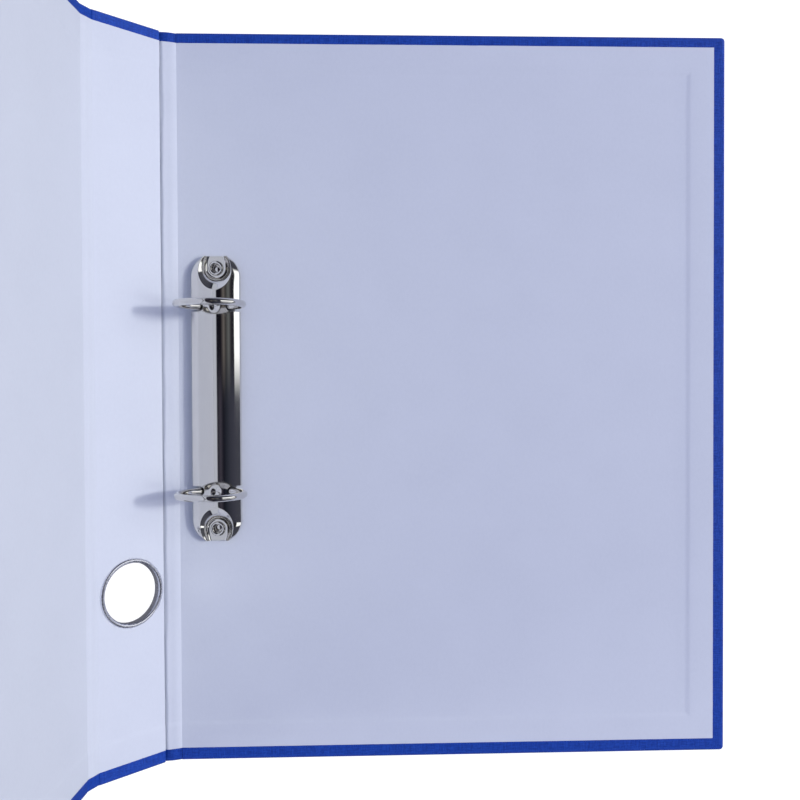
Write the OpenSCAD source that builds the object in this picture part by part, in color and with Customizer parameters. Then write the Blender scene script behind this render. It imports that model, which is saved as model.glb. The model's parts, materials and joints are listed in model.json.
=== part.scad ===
// Two-ring A4 binder lying open on its back cover, front cover standing.
// Origin midway between the two rings on the outer face of the back cover.
// X runs from the spine to the fore edge, Y to the head, Z up. Millimetres.

/* [Cover boards] */
// Height of the greyboards, tail to head
board_height = 318; // [312:1:322]
// Width of the front and back boards
board_width = 241.5; // [232:0.5:250]
// Width of the spine board
spine_width = 31; // [30.5:0.5:36]
// Thickness of the greyboards
board_thickness = 2; // [1.6:0.1:2.4]
// Distance of the back board from the line through the rings
board_setback = 16.5; // [16:0.5:20]
// Plan radius of the boards' outer corners
corner_radius = 1.4; // [0.8:0.1:3]

/* [Covering and lining] */
// Thickness of the blue covering
cloth_thickness = 0.3; // [0.2:0.05:0.4]
// Width of the covering turned in over the board edges
turn_in = 15; // [12:0.5:20]
// Thickness of the paper lining
lining_thickness = 0.15; // [0.1:0.05:0.2]
// Covering left visible inside the head edge
head_border = 4; // [3:0.5:6]
// Covering left visible inside the tail edge
tail_border = 5; // [3:0.5:6]
// Covering left visible inside the fore edge
fore_border = 5; // [3:0.5:6]

/* [Hinges] */
// Width of each flexible strip between two boards
strip_width = 8; // [7.5:0.5:10]
// Space between a crease and the board beside it
crease_clearance = 0.6; // [0.6:0.05:0.8]
// Fold of each crease between back cover and spine
back_fold = 22.5; // [0:0.5:45]
// Fold of each crease between spine and front cover
front_fold = 20.5; // [0:0.5:45]

/* [Thumb hole] */
// Radius of the clear hole
thumb_radius = 12.8; // [11:0.1:13]
// Distance of the hole below the middle of the rings
thumb_drop = 82; // [75:1:95]
// Rolled flange radius in section
flange_roll = 1; // [0.7:0.1:1.1]

/* [Ring mechanism] */
// Distance between the two rings
ring_spacing = 80; // [79:0.5:81]
// Radius of a ring along the middle of its wire
ring_radius = 13.75; // [12.5:0.25:14]
// Height of the ring centre above the lining
ring_height = 18.1; // [17.8:0.1:18.6]
// Diameter of the ring wire
wire_diameter = 2.9; // [2.4:0.1:3]
// Distance of the wire's leg from the middle of the plate
leg_offset = 6.6; // [6.5:0.1:6.8]
// Width of the arched plate
plate_width = 21.2; // [21:0.2:22]
// Length of the arched plate
plate_length = 124.4; // [123:0.2:126]
// Height of the arched plate
plate_height = 6.5; // [6.4:0.1:6.8]
// Wall of the arched plate
plate_wall = 0.9; // [0.8:0.05:0.95]
// Distance between the two rivets
rivet_spacing = 114; // [113:0.5:115]

/* [Hidden] */
$fn = 96;
eps = 0.01;
cut = 2;
board_low = -board_setback;
board_high = board_low + board_width;
crease_a = board_low - crease_clearance;
crease_b = crease_a - strip_width;
spine_high = crease_b - crease_clearance;
spine_low = spine_high - spine_width;
crease_c = spine_low - crease_clearance;
crease_d = crease_c - strip_width;
front_high = crease_d - crease_clearance;
front_low = front_high - board_width;
outer_height = board_height + 2 * cloth_thickness;
board_top = cloth_thickness + board_thickness;
face = board_top + lining_thickness;
thumb_x = (spine_low + spine_high) / 2;
barrel_wall = 0.4;
barrel_radius = thumb_radius + barrel_wall;
barrel_gap = 0.05;
wire_radius = wire_diameter / 2;
ring_z = face + ring_height;
crown_radius = 18;
shoulder_radius = 4;
shoulder_x = plate_width / 2 - shoulder_radius;
crown_angle = asin(shoulder_x / (crown_radius - shoulder_radius));
shoulder_z = plate_height - crown_radius + (crown_radius - shoulder_radius) * cos(crown_angle);
end_radius = 10;
end_taper = 9.2;
plate_lip = 1.4;
lip_height = 0.5;
lip_length = 96;
slot_width = 4.4;
slot_reach = 4.9;
dish_radius = 7.7;
seat_radius = 4.9;
dimple_radius = 2.9;
dimple_depth = 0.4;
dimple_ball = (pow(dimple_radius, 2) + pow(dimple_depth, 2)) / (2 * dimple_depth);
pivot_x = 8.2;
pivot_z = 1.3;
blade_thickness = 0.7;
blade_length = 95;
blade_gap = 0.15;
blade_slope = 3.5;
leg_depth = 0.6;
leg_angle = asin(leg_offset / ring_radius);
tip_overlap = 6;
tip_v = 0.45;
tip_gap = 0.04;
rivet_bore = 1.75;
rivet_tube = 2.2;
rivet_roll = 0.75;
rivet_gap = 0.05;
head_radius = 4.5;
head_thickness = 0.5;
head_recess = 0.05;

// ---- folding of the flat layout into the standing pose ----

module fold(crease, angle) {
    translate([crease, 0, cloth_thickness])
        rotate([0, angle, 0])
            translate([-crease, 0, -cloth_thickness])
                children();
}

module on_back_strip() {
    fold(crease_a, back_fold) children();
}

module on_spine() {
    on_back_strip() fold(crease_b, back_fold) children();
}

module on_front_strip() {
    on_spine() fold(crease_c, front_fold) children();
}

module on_front() {
    on_front_strip() fold(crease_d, front_fold) children();
}

// ---- sheets and boards, drawn flat ----

module slab(x0, x1, y0, y1, z0, z1) {
    translate([x0, y0, z0]) cube([x1 - x0, y1 - y0, z1 - z0]);
}

// a rectangle with rounded corners at one end: side 1 rounds the high X end, -1 the low
module rounded_end(x0, x1, height, radius, side) {
    near = side > 0 ? x0 : x0 + radius;
    far = side > 0 ? x1 - radius : x1;
    round_x = side > 0 ? x1 - radius : x0 + radius;
    translate([near, -height / 2]) square([far - near, height]);
    translate([x0, -height / 2 + radius]) square([x1 - x0, height - 2 * radius]);
    for (end = [-1, 1]) {
        translate([round_x, end * (height / 2 - radius)]) circle(radius);
    }
}

module cover_board(x0, x1, side) {
    translate([0, 0, cloth_thickness])
        linear_extrude(board_thickness)
            rounded_end(x0, x1, board_height, corner_radius, side);
}

// covering of a front or back board: outer sheet, wrapped edges and turn-ins
module cover_cloth(x0, x1, crease, side) {
    sheet0 = side > 0 ? x0 : x0 - cloth_thickness;
    sheet1 = side > 0 ? x1 + cloth_thickness : x1;
    board0 = side > 0 ? x0 - cut : x0;
    board1 = side > 0 ? x1 : x1 + cut;
    well0 = side > 0 ? x0 - cut : sheet0 + turn_in;
    well1 = side > 0 ? sheet1 - turn_in : x1 + cut;
    well_y = outer_height / 2 - turn_in;
    difference() {
        linear_extrude(board_top + cloth_thickness)
            rounded_end(sheet0, sheet1, outer_height, corner_radius + cloth_thickness, side);
        cover_board(board0, board1, side);
        slab(well0, well1, -well_y, well_y, board_top - eps, board_top + cut);
    }
    flap0 = side > 0 ? crease : x1 - eps;
    flap1 = side > 0 ? x0 + eps : crease;
    slab(flap0, flap1, -outer_height / 2, outer_height / 2, 0, cloth_thickness);
}

module strip_cloth(x0, x1) {
    half = outer_height / 2;
    slab(x0, x1, -half, half, 0, cloth_thickness);
    slab(x0, x1, half - turn_in, half, cloth_thickness - eps, 2 * cloth_thickness);
    slab(x0, x1, -half, -half + turn_in, cloth_thickness - eps, 2 * cloth_thickness);
}

// lining laid over a turned-in border: raised rim, step and floor. rim0 and rim1
// are the widths of turn-in hidden under the low and high X sides
module lining_sheet(x0, x1, rim0, rim1, base) {
    low = -outer_height / 2 + tail_border;
    high = outer_height / 2 - head_border;
    well = outer_height / 2 - turn_in;
    step = cloth_thickness;
    wall = lining_thickness;
    in0 = rim0 > 0 ? x0 + rim0 : x0 - cut;
    in1 = rim1 > 0 ? x1 - rim1 : x1 + cut;
    difference() {
        slab(x0, x1, low, high, base, base + step + wall);
        slab(in0 + wall, in1 - wall, -well + wall, well - wall, base + wall, base + cut);
        difference() {
            slab(x0 - cut, x1 + cut, low - cut, high + cut, base - cut, base + step);
            slab(in0, in1, -well, well, base - 2 * cut, base + cut);
        }
    }
}

// lining dropping down the edge of a board into the gap
module lining_drop(x0, x1) {
    low = -outer_height / 2 + tail_border;
    high = outer_height / 2 - head_border;
    slab(x0, x1, low, high, cloth_thickness, board_top + lining_thickness);
}

// ---- thumb hole ----

module thumb_cut(radius) {
    translate([thumb_x, -thumb_drop, -cut]) cylinder(h = board_top + 3 * cut, r = radius);
}

module rolled_flange(z, up) {
    translate([thumb_x, -thumb_drop, z])
        rotate_extrude()
            intersection() {
                translate([thumb_radius + flange_roll, 0]) circle(flange_roll);
                translate([thumb_radius - cut, up > 0 ? 0 : -2 * flange_roll])
                    square([4 * cut, 2 * flange_roll]);
            }
}

module eyelet_barrel() {
    translate([thumb_x, -thumb_drop, -eps])
        difference() {
            cylinder(h = face + eps, r = barrel_radius);
            translate([0, 0, -cut]) cylinder(h = face + 2 * cut, r = thumb_radius);
        }
}

// ---- ring mechanism ----

// plan of the plate: long straight sides, ends drawn in along large arcs
module plate_outline(height) {
    shoulder = plate_length / 2 - end_taper;
    translate([0, 0, face - eps])
        linear_extrude(height)
            intersection() {
                square([plate_width, plate_length], center = true);
                union() {
                    square([plate_width, 2 * shoulder], center = true);
                    for (sx = [-1, 1], sy = [-1, 1]) {
                        translate([sx * (plate_width / 2 - end_radius), sy * shoulder])
                            circle(end_radius);
                    }
                }
            }
}

// cross-section of the plate, drawn in by inset: a shallow crown running into tight shoulders
module arch_section(inset) {
    crown = crown_radius - inset;
    tangent_x = crown * sin(crown_angle);
    intersection() {
        translate([0, plate_height - crown_radius]) circle(crown);
        translate([-tangent_x, 0]) square([2 * tangent_x, plate_height]);
    }
    for (sx = [-1, 1]) {
        intersection() {
            translate([sx * shoulder_x, shoulder_z]) circle(shoulder_radius - inset);
            translate([-plate_width, 0]) square([2 * plate_width, plate_height]);
        }
    }
    translate([-plate_width / 2 + inset, 0]) square([plate_width - 2 * inset, shoulder_z]);
}

module arch(inset) {
    translate([0, 0, face])
        rotate([90, 0, 0])
            linear_extrude(plate_length + cut, center = true)
                arch_section(inset);
}

module dish(y, extra, lift) {
    translate([0, y, face + lift])
        cylinder(h = plate_height, r1 = seat_radius + extra, r2 = dish_radius + extra);
}

module slot(side, y) {
    reach = slot_reach + slot_width / 2;
    translate([side * reach, y, face - cut]) cylinder(h = plate_height + 2 * cut, d = slot_width);
    translate([side > 0 ? reach : -plate_width, y - slot_width / 2, face - cut])
        cube([plate_width - reach, slot_width, plate_height + 2 * cut]);
}

module plate_shell() {
    difference() {
        union() {
            difference() {
                arch(0);
                arch(plate_wall);
                for (end = [-1, 1]) {
                    dish(end * rivet_spacing / 2, 0, plate_wall);
                }
            }
            for (end = [-1, 1]) {
                intersection() {
                    arch(0);
                    difference() {
                        dish(end * rivet_spacing / 2, plate_wall, 0);
                        dish(end * rivet_spacing / 2, 0, plate_wall);
                    }
                }
            }
            for (side = [-1, 1]) {
                x0 = side > 0 ? plate_width / 2 - plate_lip : -plate_width / 2 + eps;
                slab(x0, x0 + plate_lip - eps, -lip_length / 2, lip_length / 2, face, face + lip_height);
            }
        }
        for (end = [-1, 1]) {
            translate([0, end * rivet_spacing / 2, face - cut])
                cylinder(h = 3 * cut, r = rivet_tube + rivet_gap);
            translate([0, end * ring_spacing / 2, face + plate_height - dimple_depth + dimple_ball])
                sphere(dimple_ball);
            slot(-1, end * ring_spacing / 2);
            slot(1, end * ring_spacing / 2);
        }
    }
}

module leg_bore(side, y, radius) {
    translate([side * leg_offset, y, face + leg_depth])
        cylinder(h = ring_z - face - leg_depth - ring_radius * cos(leg_angle), r = radius);
}

module blade(side) {
    span = pivot_x - blade_gap;
    x0 = side > 0 ? -span : 0;
    difference() {
        translate([side * pivot_x, 0, face + pivot_z])
            rotate([0, -side * blade_slope, 0])
                translate([x0, -blade_length / 2, -blade_thickness / 2])
                    cube([span, blade_length, blade_thickness]);
        for (end = [-1, 1]) {
            leg_bore(side, end * ring_spacing / 2, wire_radius);
        }
    }
}

// the left half of a ring's wire, its tip running a little past the middle
module half_wire(y) {
    foot = ring_z - ring_radius * cos(leg_angle);
    translate([0, y, ring_z])
        rotate([90, 0, 0])
            rotate([0, 0, 90 - tip_overlap])
                rotate_extrude(angle = 180 - leg_angle + tip_overlap)
                    translate([ring_radius, 0]) circle(wire_radius);
    leg_bore(-1, y, wire_radius);
    translate([-leg_offset, y, foot]) sphere(wire_radius);
}

// one half of a ring, cut so that the two tips meet in a V joint
module half_ring(side, y) {
    tip = tip_v + side * tip_gap;
    root = tip - 2 * tip_v - 2 * wire_diameter;
    far = side * 2 * ring_radius;
    wide = 2 * wire_diameter;
    intersection() {
        mirror([side > 0 ? 1 : 0, 0, 0]) half_wire(y);
        translate([0, y, 0])
            linear_extrude(ring_z + 2 * ring_radius)
                polygon([[far, -wide], [root, -wide], [tip, 0], [root, wide], [far, wide]]);
    }
}

module rivet(y) {
    roll = rivet_bore + rivet_roll;
    seat = face + plate_wall;
    translate([0, y, 0]) {
        difference() {
            union() {
                translate([0, 0, head_recess]) cylinder(h = head_thickness, r = head_radius);
                translate([0, 0, head_recess]) cylinder(h = seat - head_recess + eps, r = rivet_tube);
                translate([0, 0, seat])
                    rotate_extrude()
                        intersection() {
                            translate([roll, 0]) circle(rivet_roll);
                            square([2 * roll, rivet_roll + cut]);
                        }
            }
            translate([0, 0, head_recess + head_thickness])
                cylinder(h = face + plate_height, r = rivet_bore);
        }
    }
}

module rivet_cut(y) {
    translate([0, y, -cut]) cylinder(h = face + 2 * cut, r = rivet_tube + rivet_gap);
    translate([0, y, -cut])
        cylinder(h = cut + head_recess + head_thickness, r = head_radius + rivet_gap);
}

module rivet_cuts() {
    for (end = [-1, 1]) {
        rivet_cut(end * rivet_spacing / 2);
    }
}

// ---- nodes ----

module back_board() {
    color([0.55, 0.5, 0.42])
        difference() {
            cover_board(board_low, board_high, 1);
            rivet_cuts();
        }
}

module spine_board() {
    color([0.55, 0.5, 0.42])
        on_spine()
            difference() {
                slab(spine_low, spine_high, -board_height / 2, board_height / 2,
                    cloth_thickness, board_top);
                thumb_cut(barrel_radius + barrel_gap);
            }
}

module front_board() {
    color([0.55, 0.5, 0.42])
        on_front() cover_board(front_low, front_high, -1);
}

module back_cover_cloth() {
    color([0.1, 0.2, 0.58])
        difference() {
            cover_cloth(board_low, board_high, crease_a, 1);
            rivet_cuts();
        }
}

module back_hinge_cloth() {
    color([0.1, 0.2, 0.58])
        on_back_strip() strip_cloth(crease_b, crease_a);
}

module spine_cloth() {
    half = outer_height / 2;
    color([0.1, 0.2, 0.58])
        on_spine()
            difference() {
                union() {
                    slab(crease_c, crease_b, -half, half, 0, cloth_thickness);
                    slab(spine_low, spine_high, -half, half, 0, board_top + cloth_thickness);
                }
                slab(spine_low - cut, spine_high + cut, -board_height / 2, board_height / 2,
                    cloth_thickness, board_top);
                slab(spine_low - cut, spine_high + cut, -half + turn_in, half - turn_in,
                    board_top - eps, board_top + cut);
                thumb_cut(barrel_radius + barrel_gap);
            }
}

module front_hinge_cloth() {
    color([0.1, 0.2, 0.58])
        on_front_strip() strip_cloth(crease_d, crease_c);
}

module front_cover_cloth() {
    color([0.1, 0.2, 0.58])
        on_front() cover_cloth(front_low, front_high, crease_d, -1);
}

module back_lining() {
    rim = turn_in - fore_border;
    color([0.88, 0.9, 0.96])
        difference() {
            union() {
                lining_sheet(board_low, board_high + cloth_thickness - fore_border, 0, rim, board_top);
                lining_drop(board_low - lining_thickness, board_low);
            }
            rivet_cuts();
        }
}

module back_hinge_lining() {
    color([0.88, 0.9, 0.96])
        on_back_strip() lining_sheet(crease_b, crease_a, 0, 0, cloth_thickness);
}

module spine_lining() {
    color([0.88, 0.9, 0.96])
        on_spine()
            difference() {
                union() {
                    lining_sheet(spine_low, spine_high, 0, 0, board_top);
                    lining_drop(spine_high, spine_high + lining_thickness);
                    lining_drop(spine_low - lining_thickness, spine_low);
                }
                thumb_cut(barrel_radius + barrel_gap);
            }
}

module front_hinge_lining() {
    color([0.88, 0.9, 0.96])
        on_front_strip() lining_sheet(crease_d, crease_c, 0, 0, cloth_thickness);
}

module front_lining() {
    rim = turn_in - fore_border;
    color([0.88, 0.9, 0.96])
        on_front() {
            lining_sheet(front_low - cloth_thickness + fore_border, front_high, rim, 0, board_top);
            lining_drop(front_high, front_high + lining_thickness);
        }
}

module thumb_eyelet() {
    color([0.75, 0.76, 0.78])
        on_spine() {
            eyelet_barrel();
            rolled_flange(0, -1);
        }
}

module thumb_eyelet_ring() {
    color([0.75, 0.76, 0.78])
        on_spine() rolled_flange(face, 1);
}

module ring_plate() {
    color([0.72, 0.73, 0.76])
        intersection() {
            plate_shell();
            plate_outline(plate_height + cut);
        }
}

module left_blade() {
    color([0.66, 0.67, 0.7]) blade(-1);
}

module right_blade() {
    color([0.66, 0.67, 0.7]) blade(1);
}

module upper_left_half_ring() {
    color([0.75, 0.76, 0.78]) half_ring(-1, ring_spacing / 2);
}

module upper_right_half_ring() {
    color([0.75, 0.76, 0.78]) half_ring(1, ring_spacing / 2);
}

module lower_left_half_ring() {
    color([0.75, 0.76, 0.78]) half_ring(-1, -ring_spacing / 2);
}

module lower_right_half_ring() {
    color([0.75, 0.76, 0.78]) half_ring(1, -ring_spacing / 2);
}

module upper_rivet() {
    color([0.8, 0.81, 0.83]) rivet(rivet_spacing / 2);
}

module lower_rivet() {
    color([0.8, 0.81, 0.83]) rivet(-rivet_spacing / 2);
}

back_board();
spine_board();
front_board();
back_cover_cloth();
back_hinge_cloth();
spine_cloth();
front_hinge_cloth();
front_cover_cloth();
back_lining();
back_hinge_lining();
spine_lining();
front_hinge_lining();
front_lining();
thumb_eyelet();
thumb_eyelet_ring();
ring_plate();
left_blade();
right_blade();
upper_left_half_ring();
upper_right_half_ring();
lower_left_half_ring();
lower_right_half_ring();
upper_rivet();
lower_rivet();
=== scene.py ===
import json
import math

import bmesh
import bpy
import numpy as np
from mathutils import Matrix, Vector


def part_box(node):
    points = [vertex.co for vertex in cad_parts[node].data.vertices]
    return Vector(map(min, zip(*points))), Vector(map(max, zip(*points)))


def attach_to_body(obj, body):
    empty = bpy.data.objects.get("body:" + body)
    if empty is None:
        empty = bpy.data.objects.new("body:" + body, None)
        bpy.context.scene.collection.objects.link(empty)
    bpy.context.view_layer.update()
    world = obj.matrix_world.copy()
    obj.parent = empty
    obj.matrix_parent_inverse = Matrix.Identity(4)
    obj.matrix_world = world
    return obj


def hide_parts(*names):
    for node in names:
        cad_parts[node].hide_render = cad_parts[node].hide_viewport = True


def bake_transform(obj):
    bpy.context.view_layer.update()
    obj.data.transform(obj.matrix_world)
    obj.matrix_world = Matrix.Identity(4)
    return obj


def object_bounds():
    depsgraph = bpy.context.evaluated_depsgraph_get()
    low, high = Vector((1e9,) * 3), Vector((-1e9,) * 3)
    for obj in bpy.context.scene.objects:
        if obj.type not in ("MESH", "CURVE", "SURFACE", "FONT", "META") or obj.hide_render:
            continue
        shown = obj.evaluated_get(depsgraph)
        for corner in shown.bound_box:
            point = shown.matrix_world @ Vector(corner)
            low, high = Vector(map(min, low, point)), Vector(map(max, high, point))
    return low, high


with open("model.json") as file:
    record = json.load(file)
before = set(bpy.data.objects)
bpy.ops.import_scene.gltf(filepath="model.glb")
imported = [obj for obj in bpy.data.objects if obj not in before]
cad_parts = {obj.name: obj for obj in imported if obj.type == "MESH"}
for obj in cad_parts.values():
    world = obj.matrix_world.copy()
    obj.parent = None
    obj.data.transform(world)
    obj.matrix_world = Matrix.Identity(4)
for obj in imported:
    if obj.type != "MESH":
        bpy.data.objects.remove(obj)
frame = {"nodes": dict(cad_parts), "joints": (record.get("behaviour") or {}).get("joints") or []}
cad_low, cad_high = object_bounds()

# Sizes are in metres. "Flat" coordinates describe the binder opened out: u along the
# covers (u equals X on the back cover), y to the head, n above the outer face.
MM = 0.001
JOINTS = {joint["name"]: joint for joint in frame["joints"]}


# ---------------------------------------------------------------- layout from the frame

def crease_point(name):
    """A hinge line's place in the XZ plane."""
    x, _, z = JOINTS[name]["pos_m"]
    return np.array([x, z])


CREASES = [crease_point(name) for name in
           ("back_hinge_fold", "spine_fold", "front_hinge_fold", "front_cover_fold")]
CLOTH = CREASES[0][1]
BOARD_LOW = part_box("back_board")[0].x
BOARD_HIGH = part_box("back_board")[1].x
BOARD_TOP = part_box("back_board")[1].z
BOARD_WIDTH = BOARD_HIGH - BOARD_LOW
HALF_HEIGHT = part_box("back_cover_cloth")[1].y
COVER_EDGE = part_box("back_cover_cloth")[1].x
LINING_LOW, LINING_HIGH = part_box("back_lining")
LINING = LINING_HIGH.z - BOARD_TOP - CLOTH
CLEARANCE = BOARD_LOW - CREASES[0][0]

SPANS = [np.linalg.norm(b - a) for a, b in zip(CREASES, CREASES[1:])]
CREASE_U = CREASES[0][0] - np.concatenate([[0.0], np.cumsum(SPANS)])
SLOPES = [math.atan2(b[1] - a[1], a[0] - b[0]) for a, b in zip(CREASES, CREASES[1:])]
ANGLES = [0.0] + SLOPES + [2 * SLOPES[2] - SLOPES[1]]
SPINE_HIGH = CREASE_U[1] - CLEARANCE
SPINE_LOW = CREASE_U[2] + CLEARANCE
FRONT_HIGH = CREASE_U[3] - CLEARANCE
FRONT_LOW = FRONT_HIGH - BOARD_WIDTH
FRONT_EDGE = FRONT_LOW - (COVER_EDGE - BOARD_HIGH)
FACE = BOARD_TOP + LINING

SEAM_MARGIN = 1.0 * MM
SEAMS = [(CREASE_U[0] + CREASE_U[1]) / 2, SPINE_HIGH - SEAM_MARGIN,
         SPINE_LOW + SEAM_MARGIN, (CREASE_U[2] + CREASE_U[3]) / 2]


def along(angle):
    """Direction in XZ that runs away from the back cover on a panel at this angle."""
    return np.array([-math.cos(angle), math.sin(angle)])


def above(angle):
    """Direction in XZ out of a panel's inner face."""
    return np.array([math.sin(angle), math.cos(angle)])


def place(u, y, n):
    """Flat coordinates to the standing pose, with a small round bend at each crease."""
    u, y, n = np.broadcast_arrays(np.asarray(u, float), y, n)
    x = np.zeros(u.shape)
    z = np.zeros(u.shape)
    for k, angle in enumerate(ANGLES):
        corner = CREASES[max(k - 1, 0)]
        start = CREASE_U[max(k - 1, 0)]
        d, up = along(angle), above(angle)
        here = np.ones(u.shape, bool)
        if k > 0:
            here &= u <= CREASE_U[k - 1]
        if k < len(CREASE_U):
            here &= u > CREASE_U[k]
        x = np.where(here, corner[0] + (start - u) * d[0] + (n - CLOTH) * up[0], x)
        z = np.where(here, corner[1] + (start - u) * d[1] + (n - CLOTH) * up[1], z)
    for k, corner in enumerate(CREASES):
        turn = ANGLES[k + 1] - ANGLES[k]
        bend = CLEARANCE / math.tan(turn / 2)
        d, up = along(ANGLES[k]), above(ANGLES[k])
        phi = (CREASE_U[k] + CLEARANCE - u) / (2 * CLEARANCE) * turn
        here = (phi > 0) & (phi < turn)
        first = corner - CLEARANCE * d
        lean = ANGLES[k] + phi
        bend_x = first[0] + bend * (np.sin(phi) * d[0] + (1 - np.cos(phi)) * up[0])
        bend_z = first[1] + bend * (np.sin(phi) * d[1] + (1 - np.cos(phi)) * up[1])
        x = np.where(here, bend_x + (n - CLOTH) * np.sin(lean), x)
        z = np.where(here, bend_z + (n - CLOTH) * np.cos(lean), z)
    return np.stack([x, y, z], axis=-1)


def smooth(value):
    """0 below 0, 1 above 1, an S-curve between."""
    value = np.clip(value, 0, 1)
    return value * value * (3 - 2 * value)


def gap_share(u, reach):
    """0 on a board, 1 in a hinge gap, changing over reach from the board's edge."""
    share = np.zeros(np.shape(u))
    for board_side, gap_side in ((BOARD_LOW, SPINE_HIGH), (SPINE_LOW, FRONT_HIGH)):
        inside = np.minimum(board_side - u, u - gap_side)
        share = np.maximum(share, smooth(inside / reach))
    return share


CREVICE = 0.95 * MM
CREVICE_WALL = 0.3 * MM
CREVICE_WIDTH = 2.3 * MM
SAG = 0.65 * MM
SAG_REACH = 1.8 * MM


def crevice(u, reach):
    """Depth of the fold that the lining and flaps make against the spine board's edge."""
    past = u - SPINE_HIGH
    beyond = np.maximum(past - CREVICE_WALL, 0)
    fall = CREVICE * (1 - smooth(beyond / (CREVICE_WIDTH * reach)))
    fall = fall + SAG * np.exp(-beyond / (SAG_REACH * reach))
    return fall * smooth(past / CREVICE_WALL) * smooth((BOARD_LOW - u) / SAG_REACH)


# ---------------------------------------------------------------- sheets as meshes

def lines(breaks, step):
    """Grid lines through every break, no further apart than step."""
    breaks = sorted(breaks)
    out = []
    for a, b in zip(breaks, breaks[1:]):
        if b - a > 1e-7:
            count = max(1, math.ceil((b - a) / step - 1e-6))
            out += list(np.linspace(a, b, count, endpoint=False))
    return np.array(out + [breaks[-1]])


def merged(*groups):
    """One sorted set of grid lines without repeats."""
    every = np.sort(np.concatenate([np.asarray(g, float) for g in groups]))
    return every[np.concatenate([[True], np.diff(every) > 1e-6])]


class Patch:
    """A block of quads: flat (I, J, 3), developed cloth coordinates (I, J, 2), share of painted edge
    highlight (I, J).
    """

    def __init__(self, flat, uv=None, rub=None, keep=None):
        self.flat = flat
        self.uv = flat[..., :2] if uv is None else uv
        self.rub = np.zeros(flat.shape[:2]) if rub is None else rub
        self.keep = np.ones((flat.shape[0] - 1, flat.shape[1] - 1), bool) if keep is None else keep


def panel_patches(us, ys, height, holes=()):
    """A sheet over the grid us x ys, with round holes (u, y, half block, radius, dent)."""
    u, y = np.meshgrid(us, ys, indexing="ij")
    keep = np.ones((len(us) - 1, len(ys) - 1), bool)
    mid_u, mid_y = (us[1:] + us[:-1]) / 2, (ys[1:] + ys[:-1]) / 2
    patches = []
    for hole_u, hole_y, half, radius, dent in holes:
        inside = np.outer(np.abs(mid_u - hole_u) < half, np.abs(mid_y - hole_y) < half)
        keep &= ~inside
        patches.append(hole_patch(us, ys, height, hole_u, hole_y, half, radius, dent))
    return [Patch(np.stack([u, y, height(u, y)], -1), keep=keep)] + patches


def hole_patch(us, ys, height, hole_u, hole_y, half, radius, dent):
    """Quads between a square block of the grid and a round hole in it."""
    near = 1e-7
    block_u = us[np.abs(us - hole_u) <= half + near]
    block_y = ys[np.abs(ys - hole_y) <= half + near]
    left, right, low, high = block_u[0], block_u[-1], block_y[0], block_y[-1]
    rim = [(u, low) for u in block_u[:-1]] + [(right, y) for y in block_y[:-1]]
    rim += [(u, high) for u in block_u[:0:-1]] + [(left, y) for y in block_y[:0:-1]]
    rim = np.array(rim + rim[:1])
    angle = np.arctan2(rim[:, 1] - hole_y, rim[:, 0] - hole_u)
    circle = np.stack([hole_u + radius * np.cos(angle), hole_y + radius * np.sin(angle)], -1)
    rows = []
    for share in (0, 0.04, 0.12, 0.3, 0.6, 1):
        point = circle * (1 - share) + rim * share
        n = height(point[:, 0], point[:, 1]) + dent * (1 - smooth(share / 0.3))
        rows.append(np.column_stack([point, n]))
    return Patch(np.stack(rows))


def sheet_object(name, patches, thickness, facing):
    """One closed piece from patches. facing is 1 if the drawn skin is the inner face, else -1."""
    flat, uv, rub, faces = [], [], [], []
    for patch in patches:
        base = sum(len(block) for block in flat)
        rows, columns = patch.flat.shape[:2]
        number = base + np.arange(rows * columns).reshape(rows, columns)
        quads = np.stack([number[:-1, :-1], number[1:, :-1], number[1:, 1:], number[:-1, 1:]], -1)
        faces += list(quads[patch.keep])
        flat.append(patch.flat.reshape(-1, 3))
        uv.append(patch.uv.reshape(-1, 2))
        rub.append(patch.rub.ravel())
    flat, uv, rub = np.concatenate(flat), np.concatenate(uv), np.concatenate(rub)
    keys = np.round(flat / (2e-7)).astype(np.int64)
    _, first, same = np.unique(keys, axis=0, return_index=True, return_inverse=True)
    same = same.ravel()
    points = place(flat[first, 0], flat[first, 1], flat[first, 2])
    mesh_faces, corner_ids = [], []
    for face in faces:
        ids, corners = [], []
        for corner in face:
            if same[corner] not in ids:
                ids.append(same[corner])
                corners.append(corner)
        if len(ids) > 2:
            mesh_faces.append([int(i) for i in ids])
            corner_ids.append(corners)
    bm = bmesh.new()
    uv_layer = bm.loops.layers.uv.new("cloth")
    # Per-vertex share of the painted edge highlight, read by the cloth's material
    edge_highlight_layer = bm.verts.layers.float.new("rub")
    verts = [bm.verts.new(p) for p in points]
    for vert, value in zip(verts, rub[first]):
        vert[edge_highlight_layer] = value
    for ids, corners in zip(mesh_faces, corner_ids):
        face = bm.faces.new([verts[i] for i in ids])
        for loop, corner in zip(face.loops, corners):
            loop[uv_layer].uv = uv[corner]
    loose = [v for v in bm.verts if not v.link_faces]
    bmesh.ops.delete(bm, geom=loose, context="VERTS")
    bmesh.ops.recalc_face_normals(bm, faces=bm.faces)
    middle = float(np.mean([flat[:, 0].min(), flat[:, 0].max()]))
    panel = sum(middle < crease for crease in CREASE_U)
    up = above(ANGLES[panel])
    area = sum((f.normal * f.calc_area() for f in bm.faces), Vector())
    if (area.x * up[0] + area.z * up[1]) * facing < 0:
        bmesh.ops.reverse_faces(bm, faces=bm.faces)
    obj = mesh_object(name, bm)
    solid = obj.modifiers.new("thickness", "SOLIDIFY")
    solid.thickness = thickness
    solid.offset = -1
    solid.use_even_offset = False
    apply_modifiers(obj)
    return obj


def mesh_object(name, bm):
    """A scene object from a bmesh, which is used up."""
    mesh = bpy.data.meshes.new(name)
    bm.to_mesh(mesh)
    bm.free()
    obj = bpy.data.objects.new(name, mesh)
    bpy.context.scene.collection.objects.link(obj)
    return obj


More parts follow.
